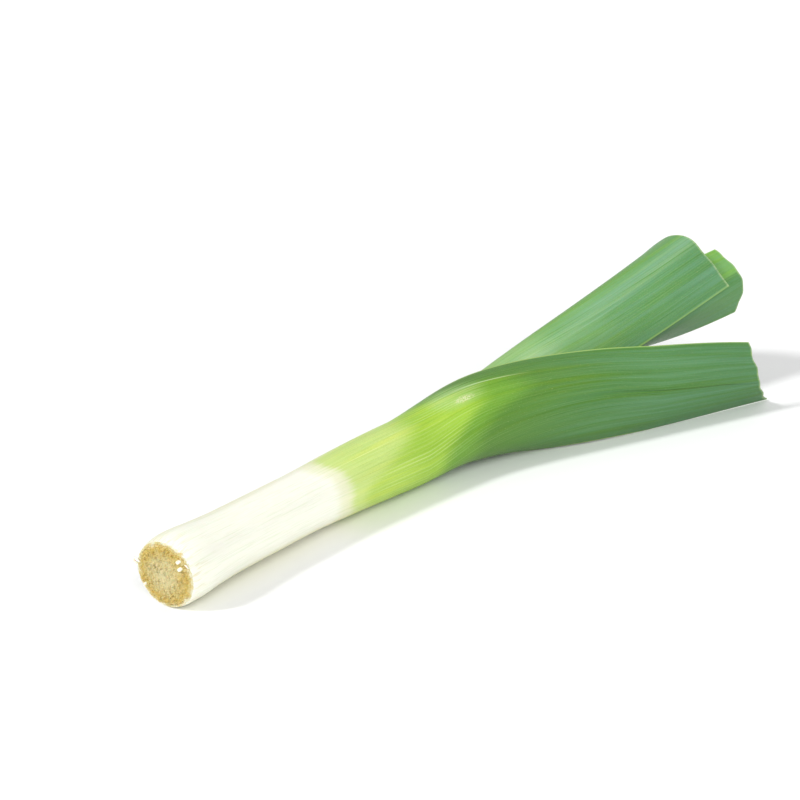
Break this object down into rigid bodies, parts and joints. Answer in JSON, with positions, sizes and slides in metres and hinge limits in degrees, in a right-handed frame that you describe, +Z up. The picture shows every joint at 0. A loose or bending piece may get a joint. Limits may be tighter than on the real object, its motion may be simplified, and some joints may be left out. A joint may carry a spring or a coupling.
{
  "type": "leek",
  "caption": "Trimmed leek lying on its side: a pale shaft with a cut root end, and flat green leaves folded lengthwise and cut off straight at the far end.",
  "frame": {"origin": "middle of the leek's length and width, on the surface it lies on", "axes": "+X from the trimmed roots towards the cut leaves, +Y to the side the shaft's back faces, +Z up"},
  "size_m": [0.4834, 0.121, 0.096],
  "materials": {
    "leaf_1_outer": "waxy living leaf, satin",
    "leaf_2": "waxy living leaf, satin",
    "leaf_3": "waxy living leaf, satin",
    "leaf_4": "waxy living leaf, satin",
    "leaf_5": "waxy living leaf, satin",
    "leaf_6_heart": "waxy living leaf, satin",
    "root_plate": "cut roots and stem, dry and fibrous"
  },
  "bodies": {
    "root": {"leaf_1_outer": "leaf_1_outer", "leaf_2": "leaf_2", "leaf_3": "leaf_3", "leaf_4": "leaf_4", "leaf_5": "leaf_5", "leaf_6_heart": "leaf_6_heart", "root_plate": "root_plate"}
  },
  "joints": []
}
